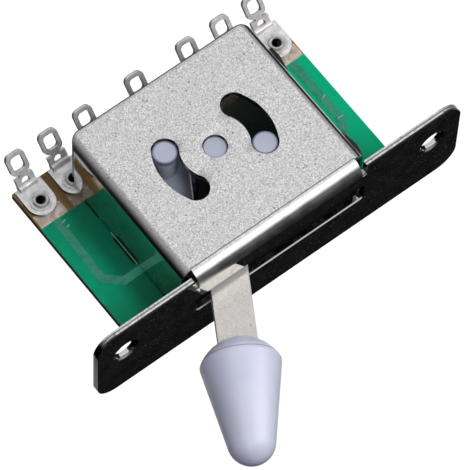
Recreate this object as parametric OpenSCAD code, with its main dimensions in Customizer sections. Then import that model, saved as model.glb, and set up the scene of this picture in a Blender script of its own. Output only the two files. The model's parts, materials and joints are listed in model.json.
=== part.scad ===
// Lever selector switch for an electric guitar, open frame type with a circuit board.
// Millimetres. Origin: middle of the flange's outer face, between the two mounting holes.
// Z points the way the lever sticks out, X runs along the flange, the plate faces -Y.

/* [Bracket] */
// Thickness of the folded sheet
sheet = 0.8; // [0.6:0.05:0.9]
// Distance between the two mounting holes
hole_pitch = 41.3; // [39:0.1:44]
// Diameter of the mounting holes
hole_d = 3.0; // [2.6:0.1:3.4]
// Distance from a mounting hole to the end of the flange
flange_end = 3.75; // [3:0.05:5]
// Depth of the flange, front to back
flange_w = 12.7; // [12:0.1:14]
// Corner radius of the flange
flange_r = 2.6; // [1:0.1:3]
// Distance from the plate's outer face to the line of the holes
face_d = 4.9; // [4.6:0.05:5.2]
// Width of the front plate
plate_w = 24.3; // [23.4:0.1:25]
// Height of the front plate, from the flange's outer face
plate_h = 22; // [20:0.1:24]
// Corner radius of the front plate
plate_r = 1.6; // [0.8:0.1:2.2]
// Outer radius of the bend between the plate and the flange
bend_r = 1.8; // [1.4:0.1:2]
// Outer radius of the two side folds
fold_r = 1.2; // [1:0.1:1.6]
// Distance from the flange's outer face to the near end of a side wall
wall_z = 1.6; // [1.4:0.1:2.4]
// Clear depth from the plate's outer face to the board
board_d = 9.55; // [9.2:0.05:9.8]
// Width of the tabs that hold the board
tab_w = 2.2; // [1.6:0.1:2.6]

/* [Lever and rotor] */
// Swing to each side of the middle
swing = 30.5; // [24:0.5:31]
// Width of the lever
lever_w = 4.3; // [3.8:0.1:4.6]
// Thickness of the lever
lever_t = 1.2; // [1:0.05:1.4]
// Radius at which the stop pegs stand
peg_r = 5.4; // [5.2:0.05:5.6]
// Diameter of a stop peg
peg_d = 2.75; // [2.4:0.05:2.9]
// Play of a peg in its curved slot, all round
peg_play = 0.12; // [0.08:0.01:0.2]
// Diameter of the pivot pin
pin_d = 2.66; // [2.4:0.02:2.9]
// Running clearance of the pivot pin
pin_play = 0.06; // [0.03:0.01:0.09]

/* [Knob] */
// Distance from the flange to the rim of the knob, with the lever in the middle
knob_out = 11.5; // [10:0.1:14]
// Diameter of the knob at its rim
knob_d = 8.8; // [8:0.1:9.4]
// Diameter of the knob's round tip
tip_d = 5.24; // [4.6:0.02:6]
// Length from the rim to the end of the tip
knob_l = 11.6; // [10.5:0.1:13]
// Height of the domed base below the rim
knob_dome = 2.8; // [2.2:0.1:3.4]

/* [Board and terminals] */
// Width of the circuit board
board_w = 36; // [35.4:0.1:38]
// How far the board stands out beyond the far edge of the front plate
board_over = 2; // [1:0.1:3]
// Thickness of the circuit board
board_t = 1.0; // [0.8:0.1:1.8]
// Distance from the outermost terminal to the board's side
lug_side = 1.9; // [1.75:0.05:2.5]
// Distance between the first and the second terminal
lug_step = 4.4; // [4:0.05:4.6]
// Distance between the second and the third terminal
lug_gap = 4.7; // [4.2:0.05:5]
// Thickness of the terminal sheet
lug_t = 0.5; // [0.4:0.05:0.6]
// Width of a terminal's foot
lug_w = 3.4; // [3:0.1:3.6]
// Lean of the terminals away from the board's normal
lug_lean = 39; // [30:1:45]
// Diameter of the eyelet's front flange
eyelet_d = 2.5; // [2.3:0.05:2.8]
// Bore of the eyelet
eyelet_bore = 1.0; // [0.8:0.02:1.2]

/* [Hidden] */
$fn = 48;
// overlap of parts drawn together, and how far a cutter runs past what it cuts
eps = 0.01;
past = 1;

// sheet metal
face_y = -face_d;
back_y = face_y + sheet;
flange_y1 = face_y + flange_w;
flange_l = hole_pitch + 2 * flange_end;
bend_in = bend_r - sheet;
fold_in = fold_r - sheet;
wall_z1 = -wall_z;
wall_l = plate_h - wall_z;
wall_gap = 0.5;
wall_r = 2.0;
notch_r = 0.3;
notch_z = -1.1;
bend_w = plate_w - 2 * fold_r;
edge_break = 0.4;
slot_r = 0.6;

// circuit board
board_y = face_y + board_d;
board_back = board_y + board_t;
board_h = plate_h + board_over;
tab_seat = 0.8;
tab_play = 0.1;
tab_foot = 2.0;
tab_x = plate_w / 2 - sheet / 2;

// terminals and eyelets
lug_out = board_w / 2 - lug_side;
lug_mid = lug_out - lug_step;
lug_in = lug_mid - lug_gap;
lug_x = [lug_out, lug_mid, lug_in, 0, -lug_in, -lug_mid, -lug_out];
lug_bend = 0.25;
lug_bend_z = -board_h + lug_bend;
eyelet_in = 2.7;
eyelet_z = -board_h + eyelet_in;
eyelet_rim = 0.16;
eyelet_lip = 0.45;
eyelet_h = 0.45;
eyelet_back = 0.4;
eyelet_cone = 0.2;
shank_r = eyelet_d / 2 - eyelet_lip;
shank_play = 0.05;
lug_foot = eyelet_z - lug_bend_z + lug_w / 2;
lug_room = 0.3;
wall_cut_y = board_y - lug_t - eyelet_h - lug_room;
wall_cut_z = lug_bend_z + lug_foot + lug_room;
tab_z = [wall_cut_z + tab_w / 2 + tab_seat, wall_z1 - tab_w / 2 - tab_seat];
riser_w = 2.3;
riser_foot = 1.35;
neck_w = 0.9;
ring_w = 2.4;
ring_h = 2.7;
ring_s = 0.48;
ring_r = 0.7;
ring_c = 2.95;
lug_hole = 1.0;

// lever unit, from the board forward
play = 0.05;
wiper_room = 1.3;
arm_t = 2.1;
arm_wall = 0.22;
arm_y1 = board_y - wiper_room;
lever_y1 = arm_y1 - arm_t;
lever_y0 = lever_y1 - lever_t;
lever_y = (lever_y0 + lever_y1) / 2;
arm_r = peg_d / 2 + arm_wall;
arc_w = peg_d + 2 * peg_play;
end_ease = 0.03;
rib_play = 0.03;
cheek_step = 1.0;
cheek_side = 0.55;
cheek_wall = 1.3;
cheek_y0 = lever_y0 - cheek_step;
cheek_in = lever_w / 2 + cheek_side;
cheek_out = peg_r + cheek_wall;
cheek_l = 4.0;
cheek_r = 1.2;
hub_r = 3.1;
neck_r = 1.9;
flush = 0.3;

// detent, from the pivot outward
wire_d = 0.34;
coils = 6;
ball_r = 0.8;
ball_y = (lever_y1 + arm_y1) / 2;
ball_z = 5.65;
bore_r = ball_r + 0.04;
bore_z0 = 2.95;
tail_wall = 0.7;
tail_end = 5.3;
tail_w = 3.4;
tail_y0 = ball_y - bore_r - tail_wall;
tail_y1 = ball_y + bore_r + tail_wall;
valley = 0.25;
crest_r = ball_z + ball_r + play;
detent_out = crest_r + ball_r;
detent_r = (crest_r + detent_out) / 2;
detent_over = 8.5;
detent_half = swing + detent_over;
detent_pin_r = 0.36;
detent_pin_in = 5;
detent_pin_a = detent_half - detent_pin_in;
detent_gap = 0.6;
detent_pin_out = 0.3;
step_a = swing / 2;

// the pivot stands where the detent just clears the feet of the terminals
pivot_d = -lug_bend_z - lug_foot - detent_gap - detent_out;
pivot_z = -pivot_d;
lever_room = 0.95;
slot_room = 2;
slot_w = lever_t + 2 * lever_room;
slot_l = 2 * (pivot_d * tan(swing) + lever_w / 2 / cos(swing) + slot_room);

// wipers and tracks
wiper_t = 0.25;
wiper_hw = 1.2;
hub_lap = 0.7;
wiper_end = 0.9;
dome_r = 0.45;
dome_gap = 0.2;
wiper_x0 = hub_r - hub_lap;
wiper_x1 = peg_r + wiper_end;
dome_in = hub_r + dome_r + dome_gap;
dome_out = peg_r;
track_t = 0.07;
track_hw = 0.55;
track_over = 8;
dome_y = board_y - track_t - play - dome_r;

// knob
cap = 3.6;
lever_fit = 0.03;
knob_z = pivot_d + knob_out;
lever_tip = knob_z + knob_l - cap;
rim_r = knob_d / 2;
tip_r = tip_d / 2;
tip_c = knob_z + knob_l - tip_r;
cone_a = atan((rim_r - tip_r) / (tip_c - knob_z));
dome_sr = (rim_r * rim_r + knob_dome * knob_dome) / (2 * knob_dome);

// A round rod along Y from y0 to y1, at x and z.
module rod_y(r, y0, y1, x = 0, z = 0) {
    translate([x, y1, z]) rotate([90, 0, 0]) cylinder(r = r, h = y1 - y0);
}

// A round rod along X, centred on the middle of the part.
module rod_x(r, l) {
    translate([-l / 2, 0, 0]) rotate([0, 90, 0]) cylinder(r = r, h = l);
}

// An outline in X and Z, drawn as X and Y, made solid from y0 to y1.
module slab_y(y0, y1) {
    translate([0, y1, 0]) rotate([90, 0, 0]) linear_extrude(height = y1 - y0) children();
}

// A box given by its two corners.
module span(a, b) {
    translate(a) cube([b[0] - a[0], b[1] - a[1], b[2] - a[2]]);
}

// A rectangle with round corners, centred.
module round_rect(w, h, r) {
    square([w - 2 * r, h], center = true);
    square([w, h - 2 * r], center = true);
    for (sx = [-1, 1], sy = [-1, 1])
        translate([sx * (w / 2 - r), sy * (h / 2 - r)]) circle(r = r);
}

// A curved slot of half width w at radius r, over the angles a0 to a1 from the X axis.
module arc_slot(r, w, a0, a1) {
    n = 8;
    reach = (r + w) / cos((a1 - a0) / n / 2) + w / 2;
    intersection() {
        difference() {
            circle(r = r + w);
            circle(r = r - w);
        }
        polygon(concat([[0, 0]], [for (i = [0 : n]) let (a = a0 + (a1 - a0) * i / n)
            [reach * cos(a), reach * sin(a)]]));
    }
}

// Turns what is drawn with the lever along +Z about the pivot, by an angle toward +X.
module about_pivot(a) {
    translate([0, 0, pivot_z]) rotate([0, a, 0]) children();
}

// Front panel, bend, flange, two side walls and four tabs, folded from one sheet.
module bracket() {
    color([0.78, 0.77, 0.74])
    difference() {
        union() {
            folded_front();
            front_bend();
            flange();
        }
        rod_y(pin_d / 2 + pin_play, face_y - past, back_y + past, 0, pivot_z);
        for (s = [0, 180]) peg_slot(s);
        lever_slot();
        for (s = [-1, 1]) translate([s * hole_pitch / 2, 0, 0]) mounting_hole();
        for (s = [-1, 1])
            rod_y(notch_r, face_y - past, face_y + bend_r + edge_break,
                s * (bend_w / 2 + notch_r), notch_z);
    }
}

// The front plate with both sides folded back, its far corners rounded.
module folded_front() {
    inner = plate_w / 2 - fold_r;
    intersection() {
        union() {
            span([-inner - eps, face_y, -plate_h], [inner + eps, back_y, -bend_r]);
            for (s = [0, 1]) mirror([s, 0, 0]) side_wall();
        }
        slab_y(face_y - past, board_back + sheet + past) {
            translate([0, -(plate_h + wall_z) / 2]) round_rect(plate_w, plate_h - wall_z, plate_r);
            translate([-plate_w / 2, -wall_z - plate_r]) square([plate_w, plate_r]);
            for (s = [0, 1]) mirror([s, 0, 0])
                translate([plate_w / 2 - past, wall_cut_z]) square([past + tab_foot, wall_z1 - wall_cut_z]);
        }
    }
}

// A quarter tube between the panel and the flange.
module front_bend() {
    difference() {
        translate([0, face_y + bend_r, -bend_r]) rod_x(bend_r, bend_w);
        translate([0, face_y + bend_r, -bend_r]) rod_x(bend_in, bend_w + 2 * past);
        span([-bend_w, face_y - past, -2 * bend_r - past],
            [bend_w, face_y + 2 * bend_r + past, -bend_r]);
        span([-bend_w, face_y + bend_r, -bend_r - eps],
            [bend_w, face_y + 2 * bend_r + past, past]);
    }
}

// The flange, cut back at the bend.
module flange() {
    difference() {
        translate([0, (face_y + flange_y1) / 2, -sheet])
            linear_extrude(height = sheet) round_rect(flange_l, flange_w, flange_r);
        span([-bend_w / 2 - 2 * notch_r, face_y - past, -sheet - past],
            [bend_w / 2 + 2 * notch_r, face_y + bend_r, past]);
    }
}

// The side wall on +X with its fold and two bent tabs.
module side_wall() {
    xo = plate_w / 2;
    y_fold = face_y + fold_r;
    translate([xo - sheet, 0, 0]) rotate([90, 0, 90]) linear_extrude(height = sheet) wall_outline();
    difference() {
        translate([xo - fold_r, y_fold, -plate_h]) cylinder(r = fold_r, h = wall_l);
        translate([xo - fold_r, y_fold, -plate_h - past]) cylinder(r = fold_in, h = wall_l + 2 * past);
        span([xo - 2 * fold_r - past, face_y - past, -plate_h - past],
            [xo - fold_r, y_fold + fold_r + past, past]);
        span([xo - 2 * fold_r - past, y_fold, -plate_h - past],
            [xo + past, y_fold + fold_r + past, past]);
    }
    for (z = tab_z)
        span([xo - sheet, board_back, z - tab_w / 2],
            [xo - sheet + tab_foot, board_back + sheet, z + tab_w / 2]);
}

// Outline of a side wall in Y and Z. It clears the terminals at its far end with a round
// corner, and stands off the board between the tabs.
module wall_outline() {
    y_fold = face_y + fold_r;
    translate([y_fold, -plate_h + wall_r])
        square([wall_cut_y - y_fold, wall_l - wall_r]);
    translate([y_fold, -plate_h]) square([wall_cut_y - wall_r - y_fold, wall_r + eps]);
    translate([wall_cut_y - wall_r, -plate_h + wall_r]) circle(r = wall_r);
    translate([y_fold, wall_cut_z]) square([board_y - wall_gap - y_fold, wall_z1 - wall_cut_z]);
    for (z = tab_z) {
        translate([y_fold, z - tab_w / 2 - tab_seat])
            square([board_y - y_fold, tab_w + 2 * tab_seat]);
        translate([y_fold, z - tab_w / 2]) square([board_back + sheet - y_fold, tab_w]);
    }
}

// Cuts one curved slot for a stop peg, turned by s degrees, with round ends.
module peg_slot(s) {
    about_pivot(s) slab_y(face_y - past, back_y + past) arc_slot(peg_r, arc_w / 2, -swing, swing);
    for (a = [-swing, swing])
        about_pivot(s + a) rod_y(arc_w / 2 + end_ease, face_y - past, back_y + past, peg_r, 0);
}

// Cuts the lever's slot in the flange.
module lever_slot() {
    translate([0, lever_y, -sheet - past])
        linear_extrude(height = sheet + 2 * past) round_rect(slot_l, slot_w, slot_r);
}

// Cuts a mounting hole with a broken edge.
module mounting_hole() {
    translate([0, 0, -sheet - past]) cylinder(d = hole_d, h = sheet + 2 * past);
    translate([0, 0, -edge_break / 2])
        cylinder(d1 = hole_d, d2 = hole_d + 2 * edge_break, h = edge_break);
}

// The circuit board with its holes.
module pcb() {
    y0 = board_y - past;
    y1 = board_back + past;
    color([0.0, 0.42, 0.26])
    difference() {
        span([-board_w / 2, board_y, -board_h], [board_w / 2, board_back, -sheet]);
        for (x = lug_x) rod_y(shank_r + shank_play, y0, y1, x, eyelet_z);
        for (s = [-1, 1], z = tab_z)
            span([s * tab_x - sheet / 2 - tab_play, y0, z - tab_w / 2 - tab_play],
                [s * tab_x + sheet / 2 + tab_play, y1, z + tab_w / 2 + tab_play]);
        rod_y(pin_d / 2 + pin_play, y0, y1, 0, pivot_z);
        for (s = [-1, 1]) about_pivot(180 + s * detent_pin_a)
            translate([0, 0, detent_r]) rod_y(detent_pin_r + rib_play, y0, y1);
    }
}

// Plated tracks that the wipers slide on: a whole arc and a broken one, on each side.
module contact_tracks() {
    half_step = swing / 6;
    color([0.85, 0.68, 0.35])
    for (s = [0, 180]) about_pivot(s) slab_y(board_y - track_t, board_y) {
        arc_slot(dome_in, track_hw, -swing - track_over, swing + track_over);
        for (i = [-2 : 2])
            arc_slot(dome_out, track_hw, i * step_a - half_step, i * step_a + half_step);
    }
}

// Notched arc that gives the five positions, pinned to the board.
module detent_plate() {
    color([0.6, 0.6, 0.6]) {
        difference() {
            about_pivot(-90) slab_y(tail_y0 + tail_wall / 2, board_y)
                arc_slot(detent_r, detent_out - detent_r, 180 - detent_half, 180 + detent_half);
            for (i = [-2 : 2]) about_pivot(180 + i * step_a)
                translate([0, ball_y, ball_z + valley]) sphere(r = ball_r + play);
        }
        for (s = [-1, 1]) about_pivot(180 + s * detent_pin_a)
            translate([0, 0, detent_r]) rod_y(detent_pin_r, board_y - eps, board_back + detent_pin_out);
    }
}

// Outline of the part of a terminal that stands up: foot with a hole, neck and ring.
module riser_outline() {
    ring_z0 = ring_c - ring_h / 2;
    difference() {
        union() {
            translate([0, riser_foot / 2]) square([riser_w, riser_foot], center = true);
            translate([-neck_w / 2, riser_foot - eps]) square([neck_w, ring_z0 + ring_s / 2 - riser_foot]);
            translate([0, ring_c]) round_rect(ring_w, ring_h, ring_r);
        }
        translate([0, riser_foot / 2]) circle(d = lug_hole);
        translate([0, ring_c])
            round_rect(ring_w - 2 * ring_s, ring_h - 2 * ring_s, ring_r - ring_s / 2);
    }
}

// One soldering terminal at x, folded up at the board's edge.
module lug(x) {
    color([0.82, 0.82, 0.8])
    translate([x, board_y, lug_bend_z]) {
        difference() {
            union() {
                span([-lug_w / 2, -lug_t, 0], [lug_w / 2, 0, lug_foot - lug_w / 2]);
                rod_y(lug_w / 2, -lug_t, 0, 0, lug_foot - lug_w / 2);
            }
            rod_y(shank_r + shank_play, -lug_t - past, past, 0, eyelet_z - lug_bend_z);
        }
        translate([0, -lug_t, 0]) rod_x(lug_t - eps, riser_w);
        translate([0, -lug_t, 0]) rotate([180 + lug_lean, 0, 0])
            translate([0, 0, -lug_t / 2]) linear_extrude(height = lug_t) riser_outline();
    }
}

// One eyelet at x: front flange with a raised lip, shank and rolled back flange.
module eyelet(x) {
    ro = eyelet_d / 2;
    yf = board_y - lug_t;
    color([0.8, 0.8, 0.78])
    translate([x, 0, eyelet_z]) rotate([-90, 0, 0]) difference() {
        union() {
            translate([0, 0, yf - eyelet_rim]) cylinder(r = ro, h = eyelet_rim);
            translate([0, 0, yf - eyelet_h])
                cylinder(r1 = shank_r, r2 = shank_r + eyelet_cone, h = eyelet_h - eyelet_rim + eps);
            translate([0, 0, yf - eps]) cylinder(r = shank_r, h = lug_t + board_t + 2 * eps);
            translate([0, 0, board_back])
                cylinder(r1 = ro - eyelet_cone / 2, r2 = shank_r, h = eyelet_back);
        }
        translate([0, 0, yf - eyelet_h - past])
            cylinder(d = eyelet_bore, h = eyelet_h + lug_t + board_t + eyelet_back + 2 * past);
        translate([0, 0, yf - eyelet_h - eps])
            cylinder(r1 = eyelet_bore / 2 + eyelet_cone, r2 = eyelet_bore / 2, h = eyelet_cone);
    }
}

// Moulded rotor: pivot pin, arm with two stop pegs, channel for the lever, tail for the detent.
module rotor() {
    channel = lever_w / 2 + rib_play;
    color([0.86, 0.87, 0.93])
    about_pivot(swing) difference() {
        union() {
            rod_y(pin_d / 2, face_y + flush, board_back - flush);
            rod_y(hub_r, lever_y1, arm_y1);
            rod_y(neck_r, arm_y1 - eps, board_y - play);
            span([-peg_r, lever_y1, -arm_r], [peg_r, arm_y1, arm_r]);
            for (s = [-1, 1]) {
                rod_y(arm_r, lever_y0, arm_y1, s * peg_r, 0);
                rod_y(peg_d / 2, face_y + flush, lever_y0 + eps, s * peg_r, 0);
            }
            for (s = [0, 1]) mirror([s, 0, 0]) {
                span([channel, lever_y0, -arm_r], [peg_r, arm_y1, arm_r]);
                cheek();
            }
            span([-tail_w / 2, tail_y0, -tail_end], [tail_w / 2, tail_y1, -channel - rib_play]);
            span([-tail_w / 2, lever_y1, -tail_end], [tail_w / 2, arm_y1, 0]);
        }
        translate([0, ball_y, -tail_end - past])
            cylinder(r = bore_r, h = tail_end + past - bore_z0);
    }
}

// The block beside the lever on +X that the peg stands on, with one round corner.
module cheek() {
    slab_y(cheek_y0, arm_y1) {
        translate([cheek_in, -arm_r]) square([cheek_out - cheek_in - cheek_r, arm_r + cheek_l]);
        translate([cheek_in, -arm_r]) square([cheek_out - cheek_in, arm_r + cheek_l - cheek_r]);
        translate([cheek_out - cheek_r, cheek_l - cheek_r]) circle(r = cheek_r);
    }
}

// Flat steel lever with a round inner end that sits on the pivot pin.
module lever() {
    color([0.74, 0.73, 0.7])
    about_pivot(swing) difference() {
        union() {
            rod_y(lever_w / 2, lever_y0, lever_y1);
            span([-lever_w / 2, lever_y0, 0], [lever_w / 2, lever_y1, lever_tip]);
        }
        rod_y(pin_d / 2 + lever_fit, lever_y0 - past, lever_y1 + past);
    }
}

// Moulded knob: domed base, taper and round tip, with a blind slot for the lever.
module knob() {
    color([0.82, 0.83, 0.93])
    about_pivot(swing) translate([0, lever_y, 0]) difference() {
        union() {
            intersection() {
                translate([0, 0, knob_z + dome_sr - knob_dome]) sphere(r = dome_sr);
                translate([0, 0, knob_z - knob_dome - past])
                    cylinder(r = rim_r + past, h = knob_dome + past);
            }
            translate([0, 0, knob_z - eps])
                cylinder(r1 = rim_r, r2 = tip_r * cos(cone_a),
                    h = tip_c - knob_z + tip_r * sin(cone_a) + eps);
            translate([0, 0, tip_c]) sphere(r = tip_r);
        }
        span([-lever_w / 2 - lever_fit, -lever_t / 2 - lever_fit, knob_z - knob_dome - past],
            [lever_w / 2 + lever_fit, lever_t / 2 + lever_fit, lever_tip + lever_fit]);
    }
}

// One sliding contact on the back of the rotor's arm, on +X, or on -X where s is 1.
module wiper(s) {
    color([0.8, 0.6, 0.3])
    about_pivot(swing) mirror([s, 0, 0]) {
        span([wiper_x0, arm_y1, -wiper_hw], [wiper_x1, arm_y1 + wiper_t, wiper_hw]);
        for (x = [dome_in, dome_out]) {
            rod_y(dome_r, arm_y1 + wiper_t - eps, dome_y, x, 0);
            translate([x, dome_y, 0]) sphere(r = dome_r);
        }
    }
}

// Coil spring behind the detent ball, drawn as closed turns.
module detent_spring() {
    z0 = bore_z0 + play;
    rise = ball_z - ball_r - z0 - wire_d - play;
    color([0.6, 0.6, 0.62])
    about_pivot(swing) translate([0, ball_y, -z0]) rotate([180, 0, 0])
        rotate_extrude() for (i = [0 : coils - 1])
            translate([bore_r - wire_d / 2 - play, wire_d / 2 + rise * i / (coils - 1)])
                circle(d = wire_d, $fn = 16);
}

// Steel ball that the spring presses into the notches.
module detent_ball() {
    color([0.7, 0.7, 0.72])
    about_pivot(swing) translate([0, ball_y, -ball_z]) sphere(r = ball_r);
}

bracket();
pcb();
contact_tracks();
detent_plate();
lug(lug_x[0]);  // lug_1
lug(lug_x[1]);  // lug_2
lug(lug_x[2]);  // lug_3
lug(lug_x[3]);  // lug_4
lug(lug_x[4]);  // lug_5
lug(lug_x[5]);  // lug_6
lug(lug_x[6]);  // lug_7
eyelet(lug_x[0]);  // eyelet_1
eyelet(lug_x[1]);  // eyelet_2
eyelet(lug_x[2]);  // eyelet_3
eyelet(lug_x[3]);  // eyelet_4
eyelet(lug_x[4]);  // eyelet_5
eyelet(lug_x[5]);  // eyelet_6
eyelet(lug_x[6]);  // eyelet_7
rotor();
lever();
knob();
wiper(0);  // wiper_left
wiper(1);  // wiper_right
detent_spring();
detent_ball();
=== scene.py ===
"""Looks of the guitar pickup selector switch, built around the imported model."""

import json
import math

import bmesh
import bpy
from mathutils import Matrix, Vector

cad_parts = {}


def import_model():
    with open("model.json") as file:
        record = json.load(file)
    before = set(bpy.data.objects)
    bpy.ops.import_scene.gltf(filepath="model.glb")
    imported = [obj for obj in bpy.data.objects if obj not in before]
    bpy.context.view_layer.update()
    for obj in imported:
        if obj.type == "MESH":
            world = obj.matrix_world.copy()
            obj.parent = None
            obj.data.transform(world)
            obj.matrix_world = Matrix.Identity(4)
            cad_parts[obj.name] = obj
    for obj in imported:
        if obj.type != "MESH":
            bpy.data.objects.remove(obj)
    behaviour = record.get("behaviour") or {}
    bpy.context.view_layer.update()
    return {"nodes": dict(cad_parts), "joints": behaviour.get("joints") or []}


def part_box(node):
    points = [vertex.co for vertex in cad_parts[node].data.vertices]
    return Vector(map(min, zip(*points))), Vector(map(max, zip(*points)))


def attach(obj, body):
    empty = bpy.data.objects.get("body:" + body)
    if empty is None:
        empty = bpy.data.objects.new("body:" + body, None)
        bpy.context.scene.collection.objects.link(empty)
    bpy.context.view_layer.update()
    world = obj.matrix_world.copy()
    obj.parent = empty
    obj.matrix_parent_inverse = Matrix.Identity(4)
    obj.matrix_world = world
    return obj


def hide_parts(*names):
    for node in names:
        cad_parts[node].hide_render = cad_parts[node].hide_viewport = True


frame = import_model()
nodes = frame["nodes"]

MM = 0.001

# Camera, as the photograph shows the part, in millimetres of the row frame
IMAGE_W = 470.0
CAM_PLACE = (152.3, -460.3, 170.1)
CAM_RIGHT = (-0.792, -0.026, 0.610)
CAM_DOWN = (0.537, 0.445, 0.717)
FOCAL_PX = 4818.0
SENSOR = 36.0

# Sizes of the model that the looks follow, in millimetres
PIVOT = Vector(frame["joints"][0]["pos_m"]) / MM
SWING = 30.5
BOARD_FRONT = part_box("pcb")[0].y / MM
BOARD_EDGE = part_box("pcb")[0].z / MM
PLATE_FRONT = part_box("bracket")[0].y / MM
PLATE_HALF = 12.15
PLATE_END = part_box("bracket")[0].z / MM
PLATE_CORNER = 1.6
SHEET = 0.8
UNDER_FLANGE = (-SHEET - 0.02, -SHEET - 0.06)
PLATE_TOP = (-1.0, -1.8)
BEND_FRONT = -5.0
BEND_BACK = -3.1
PRESS_MARK = (-1.8, -5.1)
PRESS_MARK_R = 0.45
PEG_REACH = 5.4
PEG_R = 1.375
CHEEK_IN = 2.7
CHEEK_Y = -0.95
MASK_EDGE = -18.7
LAND_W = 3.5
LAND_CLEAR = 0.9
BORE_R = 0.55
KNOB_RIM = 23.2
KNOB_R = 4.4
KNOB_TIP_R = 2.62
KNOB_LENGTH = 11.6
KNOB_DOME = 2.8
KNOB_SOFT = 0.5
DOME_R = (KNOB_R ** 2 + KNOB_DOME ** 2) / (2 * KNOB_DOME)
GROOVE_AT = -30.0
GROOVE_HALF = 1.2
GROOVE_DEEP = 0.10
LUG_LEAN = 39.0
EYELETS = sorted(name for name in nodes if name.startswith("eyelet"))
LUGS = [name for name in nodes if name.startswith("lug")]
LEVER_Y = (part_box("lever")[0].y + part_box("lever")[1].y) / 2 / MM

# What scene.py adds on the board's front, as points (x, z) in millimetres
TRACE_LEFT = [(16.0, -18.6), (16.3, -10.1), (14.5, -8.45), (11.9, -8.5)]
TRACE_RIGHT = [(-16.2, -18.6), (-16.2, -9.7), (-15.3, -8.45), (-13.2, -8.45)]
NICKS = [[(-16.1, -13.1), (-16.7, -13.35)], [(-15.95, -10.2), (-16.75, -10.15)],
         [(15.65, -17.25), (15.2, -17.35)], [(15.75, -18.0), (15.2, -18.1)]]
# Dark strips of painted shade in the play round the bracket's tabs, as (side, start z).
TAB_SHADES = [(1, -18.65), (1, -4.75), (-1, -18.65), (-1, -4.75)]
TAB_SHADE_X = PLATE_HALF + 0.06
TAB_SHADE_L = 2.5
# Painted shadow under the left wall's free edge.
FOOT_SHADOW = [(12.38, -13.2), (12.38, -9.4)]
FOOT_BURR = [(12.21, -13.9), (12.21, -9.1)]

# The swellings at the ends of the right wall's fold, as points (outward, z) in millimetres
WALL_END_NEAR = [(-0.2, -5.3), (0.0, -5.2), (0.3, -4.6), (0.42, -4.0), (0.5, -3.2), (0.42, -2.5),
                 (0.2, -1.8), (0.0, -1.6), (-0.2, -1.6)]
WALL_END_FAR = [(-0.2, -17.9), (0.42, -17.9), (0.5, -16.6), (0.4, -16.0), (0.15, -15.0), (0.0, -14.5),
                (-0.2, -14.4)]
WALL_END_DEPTHS = (0.75, 1.2, 2.4)

# Stage, in millimetres and watts
FLOOR_Z = -60.0
FLOOR_SIZE = (6000, 6000)
CARDS = (("card_left", (70, 60, -25), (280, 70), (-1, 0, 0)),
         ("card_right", (-75, -8, -30), (60, 60), (1, 0, 0)))
LIGHTS = (("key", (-480, -690, 450), (1300, 560), 7.4, (0.98, 0.98, 1.0)),
          ("fill", (420, -660, 330), (500, 400), 1.8, (0.84, 0.87, 1.0)))
LIGHT_TARGET = (0, 0, -10)
WORLD_COLOUR = (0.008, 0.008, 0.0085, 1.0)


def srgb(r, g, b):
    """A colour written as the eye reads it, 0 to 255, in linear light."""
    def linear(v):
        v = v / 255.0
        return v / 12.92 if v <= 0.04045 else ((v + 0.055) / 1.055) ** 2.4
    return (linear(r), linear(g), linear(b), 1.0)


def middle(name):
    """The middle of a node in X and Z, in millimetres."""
    low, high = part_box(name)
    return (low.x + high.x) / 2 / MM, (low.z + high.z) / 2 / MM


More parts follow.
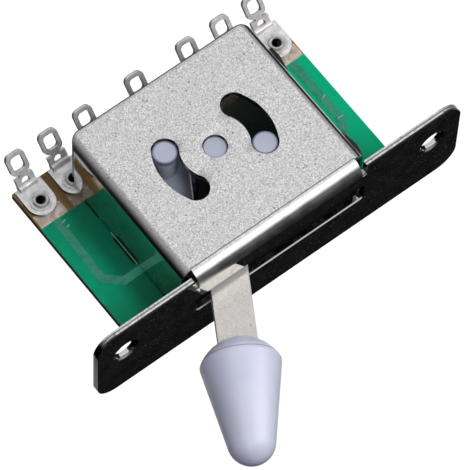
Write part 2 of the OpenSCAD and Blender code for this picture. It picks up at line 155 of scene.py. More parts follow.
class Shade:
    """A short way to write one material's nodes. Lengths in the textures are in millimetres."""

    def __init__(self, name):
        self.mat = bpy.data.materials.new(name)
        self.mat.use_nodes = True
        self.tree = self.mat.node_tree
        self.shader = self.tree.nodes["Principled BSDF"]
        coord = self.add("ShaderNodeTexCoord")
        scale = self.add("ShaderNodeVectorMath", operation="SCALE")
        scale.inputs["Scale"].default_value = 1 / MM
        self.link(coord.outputs["Object"], scale.inputs[0])
        self.place = scale.outputs[0]
        self.normal = coord.outputs["Normal"]

    def add(self, kind, **values):
        node = self.tree.nodes.new(kind)
        for key, value in values.items():
            setattr(node, key, value)
        return node

    def link(self, out, socket):
        self.tree.links.new(out, socket)

    def put(self, value, socket):
        if isinstance(value, bpy.types.NodeSocket):
            self.link(value, socket)
        else:
            socket.default_value = value

    def set(self, name, value):
        self.put(value, self.shader.inputs[name])

    def stretch(self, factors):
        node = self.add("ShaderNodeVectorMath", operation="MULTIPLY")
        self.link(self.place, node.inputs[0])
        node.inputs[1].default_value = factors
        return node.outputs[0]

    def noise(self, size, detail=2.0, rough=0.5, where=None, warp=0.0):
        node = self.add("ShaderNodeTexNoise")
        node.inputs["Scale"].default_value = 1 / size
        node.inputs["Detail"].default_value = detail
        node.inputs["Roughness"].default_value = rough
        node.inputs["Distortion"].default_value = warp
        self.link(where or self.place, node.inputs["Vector"])
        return node.outputs["Fac"]

    def cells(self, size, out="Distance", feature="F1", where=None):
        node = self.add("ShaderNodeTexVoronoi", feature=feature)
        node.inputs["Scale"].default_value = 1 / size
        self.link(where or self.place, node.inputs["Vector"])
        return node.outputs[out]

    def step(self, value, low, high, to_low=0.0, to_high=1.0):
        """Maps low..high of a value smoothly to to_low..to_high."""
        node = self.add("ShaderNodeMapRange", interpolation_type="SMOOTHSTEP")
        self.link(value, node.inputs["Value"])
        ends = {"From Min": low, "From Max": high, "To Min": to_low, "To Max": to_high}
        if low > high:
            ends = {"From Min": high, "From Max": low, "To Min": to_high, "To Max": to_low}
        for key, end in ends.items():
            node.inputs[key].default_value = end
        return node.outputs["Result"]

    def mix(self, factor, a, b, blend="MIX"):
        node = self.add("ShaderNodeMix", data_type="RGBA", blend_type=blend)
        self.put(factor, node.inputs[0])
        self.put(a, node.inputs[6])
        self.put(b, node.inputs[7])
        return node.outputs[2]

    def calc(self, kind, a, b=0.0):
        node = self.add("ShaderNodeMath", operation=kind)
        self.put(a, node.inputs[0])
        self.put(b, node.inputs[1])
        return node.outputs[0]

    def blend(self, factor, a, b):
        """A number that goes from a to b."""
        node = self.add("ShaderNodeMix", data_type="FLOAT")
        self.put(factor, node.inputs[0])
        self.put(a, node.inputs[2])
        self.put(b, node.inputs[3])
        return node.outputs[0]

    def both(self, *masks):
        """One where every mask is one."""
        out = masks[0]
        for mask in masks[1:]:
            out = self.calc("MULTIPLY", out, mask)
        return out

    def reach(self, a, b):
        """The length of the step (a, b)."""
        squares = self.calc("ADD", self.calc("POWER", a, 2.0), self.calc("POWER", b, 2.0))
        return self.calc("SQRT", squares)

    def reach_from(self, x, z, centre):
        """Distance in X and Z from a point."""
        return self.reach(self.calc("SUBTRACT", x, centre[0]), self.calc("SUBTRACT", z, centre[1]))

    def from_pivot(self, x, z, way):
        """How far a place is from the pivot along a direction (x, z)."""
        return self.calc("ADD", self.calc("MULTIPLY", self.calc("SUBTRACT", x, PIVOT.x), way[0]),
                         self.calc("MULTIPLY", self.calc("SUBTRACT", z, PIVOT.z), way[1]))

    def axes(self, vector):
        node = self.add("ShaderNodeSeparateXYZ")
        self.link(vector, node.inputs[0])
        return node.outputs["X"], node.outputs["Y"], node.outputs["Z"]

    def bump(self, height, depth_mm, strength=1.0):
        node = self.add("ShaderNodeBump")
        self.put(strength, node.inputs["Strength"])
        node.inputs["Distance"].default_value = depth_mm * MM
        self.link(height, node.inputs["Height"])
        self.link(node.outputs["Normal"], self.shader.inputs["Normal"])


# Materials

def nickel_sheet():
    """Nickel plated sheet: tumbled satin on the plate's face, bright and mirror like elsewhere."""
    s = Shade("nickel_sheet")
    x, y, z = s.axes(s.place)
    nx, ny, nz = s.axes(s.normal)
    on_bend = s.both(s.step(y, BEND_FRONT - 0.2, BEND_FRONT), s.step(y, BEND_BACK + 0.2, BEND_BACK))
    below = s.calc("MAXIMUM", s.step(z, *UNDER_FLANGE), on_bend)
    on_plate = s.calc("MAXIMUM", s.step(z, *PLATE_TOP), s.step(nz, 0.4, 0.1))
    face = s.both(s.step(ny, -0.50, -0.99), on_plate, below)
    bend = s.both(s.step(ny, -0.02, -0.12), below)
    grain = s.noise(0.13, 2.0, 0.6)
    cloud = s.noise(1.8, 3.0, 0.55)
    satin = plate_satin(s, x, z, grain, cloud)
    # Painted shade: a dark line where the plate meets the bend.
    crease_shade = s.both(s.step(nz, 0.01, 0.04), s.step(nz, 0.16, 0.09), s.step(z, -2.6, -2.2))
    satin = s.mix(crease_shade, satin, srgb(128, 124, 116))
    dust = s.both(s.step(s.cells(0.22), 0.08, 0.14, 1.0, 0.0), s.step(s.noise(0.5), 0.44, 0.54))
    bright = s.mix(s.step(cloud, 0.3, 0.7), srgb(206, 204, 200), srgb(224, 222, 218))
    bright = s.mix(s.calc("MULTIPLY", dust, 0.7), bright, srgb(250, 250, 248))
    tone = s.mix(face, bright, satin)
    tone = fold_tone(s, tone, nx, s.step(z, *PLATE_TOP))
    tone = inner_tone(s, tone, x, y, z)
    tone, edge_highlight = flange_tone(s, tone, (x, y, z), (nx, ny))
    s.set("Base Color", tone)
    haze = s.calc("MULTIPLY", s.step(s.noise(0.18, 1.0, 0.5), 0.50, 0.64),
                  s.step(cloud, 0.3, 0.7, 0.0, 0.07))
    metal = s.blend(face, s.calc("SUBTRACT", s.step(dust, 0.2, 0.9, 1.0, 0.35), haze), 0.50)
    # The painted highlight is made less metal and rougher, so it reads white.
    s.set("Metallic", s.blend(edge_highlight, metal, 0.2))
    smooth = s.calc("ADD", s.step(cloud, 0.3, 0.7, 0.05, 0.09), s.calc("MULTIPLY", dust, 0.4))
    smooth = s.calc("ADD", smooth, s.calc("MULTIPLY", bend, 0.30))
    rough = s.blend(face, smooth, s.step(grain, 0.3, 0.7, 0.50, 0.40))
    s.set("Roughness", s.blend(edge_highlight, rough, 0.5))
    height = s.calc("ADD", s.calc("MULTIPLY", grain, 0.8), s.calc("MULTIPLY", cloud, 0.5))
    s.bump(height, 0.02, s.blend(face, 0.04, 0.35))
    return s.mat


def plate_satin(s, x, z, grain, cloud):
    """The plate's tumbled face: fine grain, dull marks, dark pits, a press mark, and painted shade along
    its top edge and rounded corners.
    """
    marks = s.noise(0.30, 3.0, 0.6, where=s.stretch((1.0, 1.0, 0.7)), warp=1.0)
    pits = s.both(s.step(s.cells(0.6), 0.12, 0.20, 1.0, 0.0), s.step(cloud, 0.50, 0.60))
    satin = s.mix(s.step(grain, 0.36, 0.64), srgb(186, 185, 182), srgb(252, 251, 249))
    satin = s.mix(s.step(cloud, 0.35, 0.7, 0.0, 0.3), satin, srgb(220, 217, 210))
    satin = s.mix(s.step(marks, 0.58, 0.70, 0.0, 0.60), satin, srgb(140, 138, 134))
    satin = s.mix(pits, satin, srgb(104, 101, 97))
    ring_at = s.calc("SUBTRACT", s.reach_from(x, z, PRESS_MARK), PRESS_MARK_R)
    ring = s.step(s.calc("ABSOLUTE", ring_at), 0.10, 0.03)
    ring = s.calc("MULTIPLY", ring, s.step(grain, 0.35, 0.6, 0.15, 0.5))
    satin = s.mix(ring, satin, srgb(168, 165, 158))
    from_middle = s.calc("ABSOLUTE", x)
    over_x = s.calc("MAXIMUM", s.calc("SUBTRACT", from_middle, PLATE_HALF - PLATE_CORNER), 0.0)
    over_z = s.calc("MAXIMUM", s.calc("SUBTRACT", PLATE_END + PLATE_CORNER, z), 0.0)
    # Painted shade: grey along the top edge and its rounded corners, then a dark line at the very edge.
    rim = s.calc("MULTIPLY", s.step(over_z, 0.02, 0.1), s.reach(over_x, over_z))
    dull = s.step(rim, PLATE_CORNER - 0.50, PLATE_CORNER - 0.25, 0.0, 0.35)
    satin = s.mix(dull, satin, srgb(140, 138, 134))
    return s.mix(s.step(rim, PLATE_CORNER - 0.16, PLATE_CORNER - 0.08), satin, srgb(40, 39, 38))


def inner_tone(s, tone, x, y, z):
    """Painted shade: what lies between the plate, the walls and the board is painted dark."""
    inner = s.both(s.step(y, -4.0, -3.9), s.step(y, BOARD_FRONT + 0.05, BOARD_FRONT - 0.05),
                   s.step(z, *UNDER_FLANGE),
                   s.step(s.calc("ABSOLUTE", x), PLATE_HALF - 0.2, PLATE_HALF - 0.3))
    return s.mix(inner, tone, srgb(34, 34, 33))


def fold_tone(s, tone, nx, lower):
    """Painted shade along the plate's side folds: grey, nearly black further round, and a painted highlight
    as a bright line on the right.
    """
    turn = s.calc("ABSOLUTE", nx)
    # Painted shade: grey where the folds begin to turn.
    dull = s.both(s.step(turn, 0.03, 0.25, 0.0, 0.50), s.step(turn, 0.97, 0.90), lower)
    tone = s.mix(dull, tone, srgb(112, 108, 108))
    # Painted shade: nearly black further round both folds, and across the right fold.
    dark = s.both(s.step(turn, 0.70, 0.93, 0.0, 0.95), s.step(turn, 0.999, 0.985), lower)
    tone = s.mix(dark, tone, srgb(12, 10, 14))
    right_dark = s.both(s.step(nx, -0.38, -0.54, 0.0, 0.95), lower)
    tone = s.mix(right_dark, tone, srgb(18, 16, 18))
    # Painted highlight: a bright line on the right fold.
    right_line = s.both(s.step(nx, -0.70, -0.78), s.step(nx, -0.985, -0.97), lower)
    return s.mix(right_line, tone, srgb(250, 250, 250))


def flange_tone(s, tone, place, normal):
    """The flange's cut edge: a painted grey line parts two bright lines, painted shade black round its
    outer corner. The ends stay painted dark. A painted highlight tops the far cut edges.
    """
    x, y, z = place
    nx, ny = normal
    rim = s.step(z, *reversed(UNDER_FLANGE))
    strip = s.both(s.step(ny, -0.5, -0.9), rim, s.step(y, -3.0, -4.0))
    # Painted shade: a grey line along the middle of the cut edge, black along its top and on the ends.
    line = s.step(s.calc("ABSOLUTE", s.calc("ADD", z, 0.52)), 0.11, 0.04)
    tone = s.mix(s.both(strip, line), tone, srgb(120, 118, 114))
    tone = s.mix(s.both(strip, s.step(z, -0.27, -0.17)), tone, srgb(12, 12, 12))
    tone = s.mix(s.both(s.step(nx, 0.5, 0.8), rim), tone, srgb(14, 14, 14))
    # Painted highlight along the top of the far cut edges, such as the lever slot's far side.
    edge_highlight = s.both(s.step(ny, -0.5, -0.9), s.step(y, -3.0, -2.0), s.step(z, -0.21, -0.13))
    return s.mix(edge_highlight, tone, srgb(246, 244, 240)), edge_highlight


def lever_steel():
    """Satin nickel on the lever: warm grey with faint strokes across and a few dark specks."""
    s = Shade("lever_steel")
    strokes = s.noise(0.5, 3.0, 0.6, where=s.stretch((1.0, 1.0, 6.0)))
    grain = s.noise(0.14, 3.0, 0.6)
    cloud = s.noise(2.2, 2.0, 0.5)
    specks = s.calc("MULTIPLY", s.step(s.cells(0.9), 0.07, 0.12, 1.0, 0.0), s.step(cloud, 0.45, 0.6))
    tone = s.mix(s.step(strokes, 0.3, 0.7), srgb(198, 194, 186), srgb(222, 218, 210))
    tone = s.mix(s.step(grain, 0.35, 0.65, 0.0, 0.4), tone, srgb(240, 237, 230))
    tone = s.mix(specks, tone, srgb(96, 92, 86))
    x, _, z = s.axes(s.place)
    # Painted shade: the part of the lever inside the switch is painted dark.
    inner = s.step(s.reach_from(x, z, (PIVOT.x, PIVOT.z)), 9.5, 8.5)
    s.set("Base Color", s.mix(inner, tone, srgb(40, 40, 32)))
    s.set("Metallic", 0.45)
    s.set("Roughness", s.step(grain, 0.3, 0.7, 0.46, 0.34))
    s.bump(s.calc("ADD", grain, strokes), 0.012, 0.5)
    return s.mat


def inside_shade(s, x, ny, cloud):
    """How far painted shade covers the board's front inside the bracket."""
    between_walls = s.step(s.calc("ABSOLUTE", x), PLATE_HALF - 0.5, PLATE_HALF - 1.0)
    inside = s.both(between_walls, s.step(ny, -0.5, -0.9))
    return s.calc("MULTIPLY", inside, s.step(cloud, 0.25, 0.75, 0.96, 0.88))


def browned_near_wall(s, x, colour, cloud):
    """Patchy darker brown on the bare strip near the left wall."""
    stain = s.both(s.step(x, 15.0, 13.6), s.step(x, 10.0, 11.0), s.step(cloud, 0.35, 0.55, 0.35, 0.85))
    return s.mix(stain, colour, srgb(104, 88, 58))


def board_mask():
    """Fibre board: green mask on both faces, bare tan strip at the terminals, dark cut edges."""
    s = Shade("board_mask")
    x, _, z = s.axes(s.place)
    _, ny, _ = s.axes(s.normal)
    ragged = s.calc("ADD", z, s.step(s.noise(0.8), 0.2, 0.8, -0.12, 0.12))
    on_face = s.step(s.calc("ABSOLUTE", ny), 0.5, 0.9)
    masked = s.calc("MULTIPLY", on_face, s.step(ragged, MASK_EDGE - 0.08, MASK_EDGE + 0.08))
    weave = s.calc("MULTIPLY", s.step(s.noise(0.5, where=s.stretch((1.0, 1.0, 8.0))), 0.3, 0.7),
                   s.step(s.noise(0.5, where=s.stretch((8.0, 1.0, 1.0))), 0.3, 0.7))
    cloud = s.noise(3.0, 3.0, 0.5)
    mask = s.mix(s.step(cloud, 0.3, 0.7), srgb(0, 162, 114), srgb(0, 180, 130))
    mask = s.mix(s.step(weave, 0.2, 0.9, 0.0, 0.25), mask, srgb(0, 142, 98))
    bare = s.mix(s.step(cloud, 0.3, 0.7), srgb(152, 106, 48), srgb(186, 142, 82))
    bare = s.mix(s.step(weave, 0.2, 0.9, 0.0, 0.5), bare, srgb(204, 168, 112))
    bare = browned_near_wall(s, x, bare, cloud)
    bare = s.mix(s.step(s.calc("ABSOLUTE", ny), 0.9, 0.5), bare, srgb(52, 40, 22))
    # Painted shadow of the left wall: darker green beside it.
    mask = s.mix(s.step(x, 16.4, 13.6, 0.0, 0.7), mask, srgb(0, 76, 52))
    # Painted light: brighter green on the right strip.
    mask = s.mix(s.step(x, -11.6, -12.4), mask, srgb(0, 194, 138))
    # Painted shade on the board inside the bracket.
    mask = s.mix(inside_shade(s, x, ny, cloud), mask, srgb(58, 60, 56))
    s.set("Base Color", s.mix(masked, bare, mask))
    s.set("Roughness", s.blend(masked, 0.62, s.step(cloud, 0.3, 0.7, 0.22, 0.30)))
    s.set("Specular IOR Level", 0.10)
    s.set("Coat Weight", s.blend(masked, 0.0, 0.02))
    s.set("Coat Roughness", 0.12)
    s.bump(weave, 0.012, s.blend(masked, 0.8, 0.35))
    return s.mat


def masked_copper():
    """Copper under the green mask: a lighter, greyer green with a soft shine."""
    s = Shade("masked_copper")
    cloud = s.noise(1.2, 3.0, 0.6)
    grain = s.noise(0.2, 2.0, 0.5)
    tone = s.mix(s.step(cloud, 0.3, 0.7), srgb(46, 152, 118), srgb(72, 168, 136))
    s.set("Base Color", s.mix(s.step(grain, 0.4, 0.7, 0.0, 0.35), tone, srgb(48, 140, 110)))
    s.set("Roughness", s.step(cloud, 0.3, 0.7, 0.24, 0.34))
    s.set("Specular IOR Level", 0.2)
    s.set("Coat Weight", 0.05)
    s.set("Coat Roughness", 0.14)
    s.bump(s.calc("ADD", cloud, grain), 0.01, 0.4)
    return s.mat


def tin(name, light, dark, rough, tone=None):
    """Tin plate or solder: satin, uneven, with dull patches and small dimples."""
    s = Shade(name)
    cloud = s.noise(0.7, 3.0, 0.6)
    grain = s.noise(0.15, 2.0, 0.5)
    colour = s.mix(s.step(cloud, 0.35, 0.68), dark, light)
    s.set("Base Color", tone(s, colour, cloud) if tone else colour)
    s.set("Metallic", 0.4)
    s.set("Roughness", s.step(cloud, 0.3, 0.7, rough + 0.12, rough))
    s.bump(s.calc("ADD", cloud, s.calc("MULTIPLY", grain, 0.3)), 0.02, 0.3)
    return s.mat


def bore_tone(s, colour, _cloud):
    """Painted shade: the eyelets' bores are painted dark inside."""
    x, _, z = s.axes(s.place)
    for name in EYELETS:
        bore = s.step(s.reach_from(x, z, middle(name)), BORE_R + 0.03, BORE_R - 0.03)
        colour = s.mix(bore, colour, srgb(16, 15, 14))
    return colour


def lug_tone(s, colour, _cloud):
    """The terminals' cut edges reflect the dark round them, which draws an outline."""
    _, ny, nz = s.axes(s.normal)
    lean = math.radians(LUG_LEAN)
    foot = s.calc("ABSOLUTE", ny)
    ring = s.calc("ABSOLUTE", s.calc("SUBTRACT", s.calc("MULTIPLY", nz, math.cos(lean)),
                                     s.calc("MULTIPLY", ny, math.sin(lean))))
    edge = s.step(s.calc("MAXIMUM", foot, ring), 0.86, 0.55, 0.0, 0.9)
    return s.mix(edge, colour, srgb(46, 40, 30))


def land_tone(s, colour, cloud):
    """Painted shade over the lands that lie inside the bracket, patchy darker brown near the left wall."""
    x, _, _ = s.axes(s.place)
    _, ny, _ = s.axes(s.normal)
    colour = browned_near_wall(s, x, colour, cloud)
    return s.mix(inside_shade(s, x, ny, cloud), colour, srgb(30, 30, 27))


def plastic(name, tint, shade, rough, tone=None):
    """Moulded white plastic with a cool tint: light goes a little way in, faint flow marks."""
    s = Shade(name)
    cloud = s.noise(4.0, 2.0, 0.5)
    grain = s.noise(0.12, 2.0, 0.5)
    colour = s.mix(s.step(cloud, 0.3, 0.7), shade, tint)
    s.set("Base Color", tone(s, colour) if tone else colour)
    s.set("Roughness", s.step(grain, 0.3, 0.7, rough, rough + 0.08))
    s.set("Subsurface Weight", 0.25)
    s.set("Subsurface Radius", (1.0, 0.95, 1.1))
    s.set("Subsurface Scale", 0.8 * MM)
    s.set("Coat Weight", 0.15)
    s.set("Coat Roughness", 0.3)
    s.bump(grain, 0.004, 0.35)
    return s.mat


def rotor_tone(s, colour):
    """Darker rims on the ends of pegs and pin, painted shade deep inside, a painted highlight as a bright
    line on the arm's inner edge.
    """
    x, y, z = s.axes(s.place)
    turn = math.radians(SWING)
    along = (math.cos(turn), -math.sin(turn))
    near = s.step(y, PLATE_FRONT + 1.0, PLATE_FRONT + 0.8)
    for out in (-PEG_REACH, 0.0, PEG_REACH):
        from_peg = s.reach_from(x, z, (PIVOT.x + out * along[0], PIVOT.z + out * along[1]))
        rim = s.both(s.step(from_peg, PEG_R - 0.24, PEG_R - 0.10),
                     s.step(from_peg, PEG_R + 0.2, PEG_R + 0.1), near)
        colour = s.mix(rim, colour, srgb(120, 128, 148))
    side = s.calc("ABSOLUTE", s.from_pivot(x, z, along))
    # Painted shade on the deep middle of the arm, between the pegs.
    deep_shade = s.both(s.step(side, 4.7, 3.0, 0.0, 0.80), s.step(y, PLATE_FRONT + 1.6, PLATE_FRONT + 2.4))
    colour = s.mix(deep_shade, colour, srgb(48, 51, 60))
    from_edge = s.calc("ABSOLUTE", s.calc("SUBTRACT", side, CHEEK_IN + 0.06))
    # Painted highlight: a bright line on the arm's inner edge.
    edge = s.both(s.step(from_edge, 0.11, 0.05), s.step(y, CHEEK_Y + 0.25, CHEEK_Y + 0.10))
    return s.mix(edge, colour, srgb(226, 228, 226))


def knob_tone(s, colour):
    """Painted shade as a fine dark line where the dome was parted in the mould, and a painted highlight as
    a lighter line under it.
    """
    x, _, z = s.axes(s.place)
    turn = math.radians(SWING)
    out = s.from_pivot(x, z, (math.sin(turn), math.cos(turn)))
    groove = KNOB_RIM - KNOB_DOME + DOME_R * (1 + math.sin(math.radians(GROOVE_AT)))
    # The dark line is painted shade, the light line a painted highlight.
    for line_at, tint in ((groove, srgb(140, 148, 180)), (groove + 0.20, srgb(248, 250, 255))):
        line = s.step(s.calc("ABSOLUTE", s.calc("SUBTRACT", out, line_at)), 0.11, 0.04, 0.0, 0.8)
        colour = s.mix(line, colour, tint)
    return colour


def plain_metal(name, light, dark, rough):
    """Small inner metal pieces: turned or drawn metal with fine uneven grain."""
    s = Shade(name)
    grain = s.noise(0.1, 3.0, 0.6)
    s.set("Base Color", s.mix(s.step(grain, 0.3, 0.7), dark, light))
    s.set("Metallic", 0.95)
    s.set("Roughness", s.step(grain, 0.3, 0.7, rough, rough + 0.12))
    s.bump(grain, 0.01, 0.4)
    return s.mat


def dress(material, *names):
    """Gives CAD nodes their material."""
    for name in names:
        for slot in nodes[name].material_slots:
            slot.material = material


def soften(name, width, segments=2):
    """Breaks the sharp edges of a CAD node, as sheet metal and mouldings have them."""
    weld = nodes[name].modifiers.new("weld", "WELD")
    weld.merge_threshold = 0.001 * MM
    bevel = nodes[name].modifiers.new("edges", "BEVEL")
    bevel.width = width * MM
    bevel.segments = segments
    bevel.limit_method = "ANGLE"
    bevel.angle_limit = math.radians(40)
    bevel.use_clamp_overlap = True
    bevel.miter_outer = "MITER_ARC"
    even = nodes[name].modifiers.new("normals", "WEIGHTED_NORMAL")
    even.weight = 80
    even.keep_sharp = False


# Pieces

def piece(name, mesh, material, body, smooth=True):
    """Puts a bmesh into the scene as a piece that rides on a body."""
    data = bpy.data.meshes.new(name)
    mesh.to_mesh(data)
    mesh.free()
    for polygon in data.polygons:
        polygon.use_smooth = smooth
    data.materials.append(material)
    made = bpy.data.objects.new(name, data)
    bpy.context.collection.objects.link(made)
    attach(made, body)
    return made


def break_edges(made, width):
    """Rounds all edges of a small piece."""
    edge = made.modifiers.new("edges", "BEVEL")
    edge.width = width * MM
    edge.segments = 2


def ribbon(mesh, points, width, y0, y1):
    """A flat strip of a given width along points in X and Z, from y0 to y1 in depth."""
    sides = []
    for i, point in enumerate(points):
        here = Vector(point)
        before = (here - Vector(points[i - 1])).normalized() if i else None
        after = (Vector(points[i + 1]) - here).normalized() if i + 1 < len(points) else None
        along = ((before or after) + (after or before)).normalized()
        across = Vector((-along.y, along.x))
        bend = across.dot(Vector((-(after or before).y, (after or before).x)))
        reach = width / 2 / max(bend, 0.3)
        sides.append((here + across * reach, here - across * reach))
    rows = [[mesh.verts.new((p.x * MM, y * MM, p.y * MM)) for p in pair for y in (y0, y1)]
            for pair in sides]
    for a, b in zip(rows, rows[1:]):
        for i, j in ((0, 1), (1, 3), (3, 2), (2, 0)):
            mesh.faces.new((a[i], a[j], b[j], b[i]))
    for row in (rows[0], rows[-1]):
        mesh.faces.new((row[0], row[1], row[3], row[2]))
    bmesh.ops.recalc_face_normals(mesh, faces=mesh.faces)


def trace(name, points, material, width=1.0, lift=0.035):
    """A flat strip, such as a copper trace, that stands a hair proud of the board's front."""
    mesh = bmesh.new()
    ribbon(mesh, points, width, BOARD_FRONT - lift, BOARD_FRONT)
    break_edges(piece(name, mesh, material, "frame", smooth=False), 0.03)


def lathe(profile, steps=96):
    """A closed solid turned about its own Z axis from (radius, height) points in millimetres."""
    mesh = bmesh.new()
    rings = []
    for r, h in profile:
        if r < 1e-6:
            rings.append([mesh.verts.new((0, 0, h * MM))])
        else:
            rings.append([mesh.verts.new((r * math.cos(a) * MM, r * math.sin(a) * MM, h * MM))
                          for a in (2 * math.pi * i / steps for i in range(steps))])
    for low, high in zip(rings, rings[1:]):
        for i in range(steps):
            j = (i + 1) % steps
            if len(low) == 1:
                mesh.faces.new((low[0], high[j], high[i]))
            elif len(high) == 1:
                mesh.faces.new((low[i], low[j], high[0]))
            else:
                mesh.faces.new((low[i], low[j], high[j], high[i]))
    bmesh.ops.recalc_face_normals(mesh, faces=mesh.faces)
    return mesh


def arc(centre, radius, start, end, steps):
    """Points (radius, height) on an arc, angles in degrees from the radial direction."""
    return [(centre[0] + radius * math.cos(math.radians(start + (end - start) * i / steps)),
             centre[1] + radius * math.sin(math.radians(start + (end - start) * i / steps)))
            for i in range(steps + 1)]


def knob_profile():
    """Dome with a fine parting groove, soft rim, straight taper and round tip."""
    centre = KNOB_RIM - KNOB_DOME + DOME_R
    tip_z = KNOB_RIM + KNOB_LENGTH - KNOB_TIP_R
    taper = math.degrees(math.atan((KNOB_R - KNOB_TIP_R) / (tip_z - KNOB_RIM)))
    rim_angle = -math.degrees(math.acos(KNOB_R / DOME_R))
    by_pole = 89.0
    points = [(0.0, centre - DOME_R)]
    points += arc((0, centre), DOME_R, -by_pole, GROOVE_AT - GROOVE_HALF, 24)
    points += arc((0, centre), DOME_R - GROOVE_DEEP, GROOVE_AT, GROOVE_AT, 1)[:1]
    points += arc((0, centre), DOME_R, GROOVE_AT + GROOVE_HALF, rim_angle - 2.0, 4)
    points += arc((KNOB_R - KNOB_SOFT, KNOB_RIM + 0.12), KNOB_SOFT, -38.0, taper, 10)
    points += arc((0, tip_z), KNOB_TIP_R, taper, by_pole, 24)
    points += [(0.0, tip_z + KNOB_TIP_R)]
    return points


def on_lever(mesh):
    """Moves what is drawn along the lever's own axis to the lever's place at rest."""
    turn = Matrix.Rotation(math.radians(SWING), 4, "Y")
    place = Matrix.Translation(PIVOT * MM) @ turn @ Matrix.Translation(Vector((0, LEVER_Y * MM, 0)))
    bmesh.ops.transform(mesh, matrix=place, verts=mesh.verts)
    return mesh


def tab_shades(material):
    """Dark green strips of painted shade in the play round the bracket's four tabs."""
    for side, start in TAB_SHADES:
        name = f"tab_shade_{'right' if side < 0 else 'left'}_{round(-start)}"
        ends = [(side * TAB_SHADE_X, start), (side * TAB_SHADE_X, start + TAB_SHADE_L)]
        trace(name, ends, material, 0.12, 0.01)


def wall_end(name, outline, material):
    """The swelling of the sheet at one end of the right wall's fold, left from the folding, with its metal
    painted dark as shade.
    """
    mesh = bmesh.new()
    side = -PLATE_HALF
    loops = [[mesh.verts.new(((side - out) * MM, (PLATE_FRONT + depth) * MM, z * MM)) for out, z in outline]
             for depth in WALL_END_DEPTHS]
    for vert in loops[0]:
        vert.co.x += 0.12 * MM if vert.co.x < side * MM - 0.1 * MM else 0.0
    for near, far in zip(loops, loops[1:]):
        for i in range(len(outline)):
            j = (i + 1) % len(outline)
            mesh.faces.new((near[i], near[j], far[j], far[i]))
    mesh.faces.new(loops[0])
    mesh.faces.new(list(reversed(loops[-1])))
    bmesh.ops.recalc_face_normals(mesh, faces=mesh.faces)
    break_edges(piece(name, mesh, material, "frame", smooth=False), 0.08)


def lands(material):
    """Tinned lands on the bare strip, one under each terminal's foot, open round the eyelet."""
    mesh = bmesh.new()
    lift = 0.03
    for i in range(1, len(LUGS) + 1):
        mid = middle(f"lug_{i}")[0]
        hole = middle(f"eyelet_{i}")[1]
        for start, end in ((BOARD_EDGE + 0.3, hole - LAND_CLEAR), (hole + LAND_CLEAR, MASK_EDGE - 0.02)):
            ribbon(mesh, [(mid, start), (mid, end)], LAND_W, BOARD_FRONT - lift, BOARD_FRONT)
    piece("terminal_lands", mesh, material, "frame", smooth=False)


# Dressing the model

satin_nickel = nickel_sheet()
white = plastic("rotor_plastic", srgb(197, 203, 216), srgb(187, 194, 209), 0.38, rotor_tone)
lavender = plastic("knob_plastic", srgb(237, 238, 255), srgb(230, 231, 255), 0.30, knob_tone)
lug_tin = tin("lug_tin", srgb(255, 252, 250), srgb(228, 224, 220), 0.32, lug_tone)
eyelet_tin = tin("eyelet_tin", srgb(232, 230, 228), srgb(200, 197, 194), 0.30, bore_tone)
land_tin = tin("land_tin", srgb(226, 214, 202), srgb(190, 172, 154), 0.38, land_tone)
copper = masked_copper()
# Dark greens that paint shade round the tabs and a shadow under the left wall's foot.
gap_shade = plain_metal("gap_shade", srgb(6, 62, 42), srgb(2, 44, 30), 0.5)
gap_shadow = plain_metal("gap_shadow", srgb(10, 36, 24), srgb(4, 20, 12), 0.5)
burr = plain_metal("burr", srgb(240, 236, 224), srgb(200, 196, 184), 0.4)
nick_metal = plain_metal("mask_nick", srgb(150, 196, 180), srgb(96, 160, 136), 0.4)
# Dark metal that paints shade on the swellings at the ends of the right wall's fold.
fold_shade = plain_metal("fold_shade", srgb(70, 68, 66), srgb(20, 19, 19), 0.22)

dress(satin_nickel, "bracket")
dress(board_mask(), "pcb")
dress(lever_steel(), "lever")
dress(white, "rotor")
dress(plain_metal("detent_steel", srgb(176, 176, 176), srgb(140, 140, 142), 0.3),
      "detent_plate", "detent_ball")
dress(plain_metal("spring_wire", srgb(170, 170, 176), srgb(128, 128, 134), 0.25), "detent_spring")
dress(plain_metal("bronze", srgb(214, 166, 96), srgb(176, 128, 66), 0.28),
      "wiper_left", "wiper_right")
dress(plain_metal("track_plate", srgb(222, 184, 108), srgb(190, 150, 80), 0.25), "contact_tracks")
dress(lug_tin, *LUGS)
dress(eyelet_tin, *EYELETS)

for name in LUGS:
    soften(name, 0.12, 3)
soften("bracket", 0.10)
soften("lever", 0.10)
soften("rotor", 0.08)

knob = piece("knob_body", on_lever(lathe(knob_profile())), lavender, "lever_unit")
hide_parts("knob")

trace("trace_left", TRACE_LEFT, copper)
trace("trace_right", TRACE_RIGHT, copper)
# Painted shade round the tabs.
tab_shades(gap_shade)
# Painted shadow under the left wall's free edge.
trace("foot_shadow", FOOT_SHADOW, gap_shadow, 0.20, 0.02)
trace("foot_burr", FOOT_BURR, burr, 0.06, 0.09)
for i, ends in enumerate(NICKS):
    trace(f"mask_nick_{i + 1}", ends, nick_metal, 0.16, 0.06)

wall_end("wall_end_near", WALL_END_NEAR, fold_shade)
wall_end("wall_end_far", WALL_END_FAR, fold_shade)
lands(land_tin)


# Stage: floor, cards, lights, camera

def plane(name, centre, size, facing, material):
    """A flat card in millimetres whose face looks along facing."""
    mesh = bmesh.new()
    w, h = size[0] / 2 * MM, size[1] / 2 * MM
    mesh.faces.new([mesh.verts.new(p) for p in ((-w, -h, 0), (w, -h, 0), (w, h, 0), (-w, h, 0))])
    data = bpy.data.meshes.new(name)
    mesh.to_mesh(data)
    mesh.free()
    data.materials.append(material)
    made = bpy.data.objects.new(name, data)
    turn = Vector(facing).to_track_quat("Z", "Y").to_matrix().to_4x4()
    made.matrix_world = Matrix.Translation(Vector(centre) * MM) @ turn
    bpy.context.collection.objects.link(made)
    return made


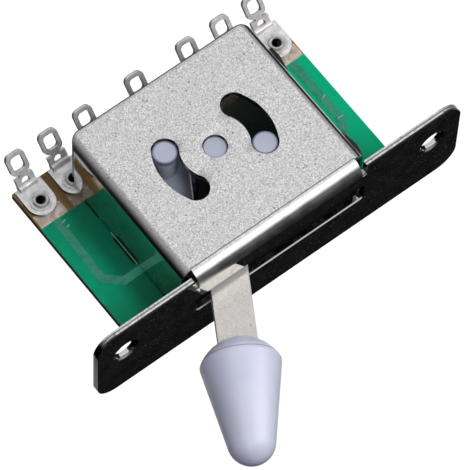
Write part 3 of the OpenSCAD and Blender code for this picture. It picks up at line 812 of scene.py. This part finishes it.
def floor_material():
    """Plain pale floor. Its own light makes it white to the eye and in reflections, shadows stay."""
    s = Shade("floor_pale")
    path = s.add("ShaderNodeLightPath")
    mirrored = s.calc("MAXIMUM", path.outputs["Is Glossy Ray"], path.outputs["Is Transmission Ray"])
    glow = s.calc("ADD", s.calc("MULTIPLY", path.outputs["Is Camera Ray"], 0.9),
                  s.calc("MULTIPLY", mirrored, 0.5))
    s.set("Base Color", (0.82, 0.82, 0.82, 1.0))
    s.set("Roughness", 0.9)
    s.set("Specular IOR Level", 0.1)
    s.set("Emission Color", (1.0, 1.0, 1.0, 1.0))
    s.set("Emission Strength", glow)
    return s.mat


def dark_material():
    """Black card, which only the metal's reflections show."""
    s = Shade("dark_card")
    s.set("Base Color", (0.01, 0.01, 0.01, 1.0))
    s.set("Roughness", 0.9)
    return s.mat


def area_light(name, place, size, power, tint):
    """A large soft lamp that looks at the middle of the part."""
    data = bpy.data.lights.new(name, "AREA")
    data.shape = "RECTANGLE"
    data.size = size[0] * MM
    data.size_y = size[1] * MM
    data.energy = power
    data.color = tint
    lamp = bpy.data.objects.new(name, data)
    turn = (Vector(LIGHT_TARGET) - Vector(place)).to_track_quat("-Z", "Y").to_matrix().to_4x4()
    lamp.matrix_world = Matrix.Translation(Vector(place) * MM) @ turn
    bpy.context.collection.objects.link(lamp)


def camera():
    """The camera at the photograph's place and angle."""
    data = bpy.data.cameras.new("camera")
    data.sensor_width = SENSOR
    data.lens = SENSOR * FOCAL_PX / IMAGE_W
    data.clip_start = 0.01
    data.clip_end = 20.0
    made = bpy.data.objects.new("camera", data)
    right = Vector(CAM_RIGHT).normalized()
    down = Vector(CAM_DOWN)
    down = (down - right * down.dot(right)).normalized()
    turn = Matrix((right, -down, right.cross(-down))).transposed()
    made.matrix_world = Matrix.Translation(Vector(CAM_PLACE) * MM) @ turn.to_4x4()
    bpy.context.collection.objects.link(made)
    bpy.context.scene.camera = made


def world():
    """A nearly dark room, so that the nickel's reflections turn black beside the floor and lamps."""
    made = bpy.data.worlds.new("studio")
    made.use_nodes = True
    light = made.node_tree.nodes["Background"]
    light.inputs["Color"].default_value = WORLD_COLOUR
    light.inputs["Strength"].default_value = 1.0
    bpy.context.scene.world = made


plane("floor", (0, 0, FLOOR_Z), FLOOR_SIZE, (0, 0, 1), floor_material())
black = dark_material()
for name, centre, size, facing in CARDS:
    plane(name, centre, size, facing, black).visible_camera = False
for name, place, size, power, tint in LIGHTS:
    area_light(name, place, size, power, tint)
world()
camera()

scene = bpy.context.scene
scene.view_settings.view_transform = "Standard"
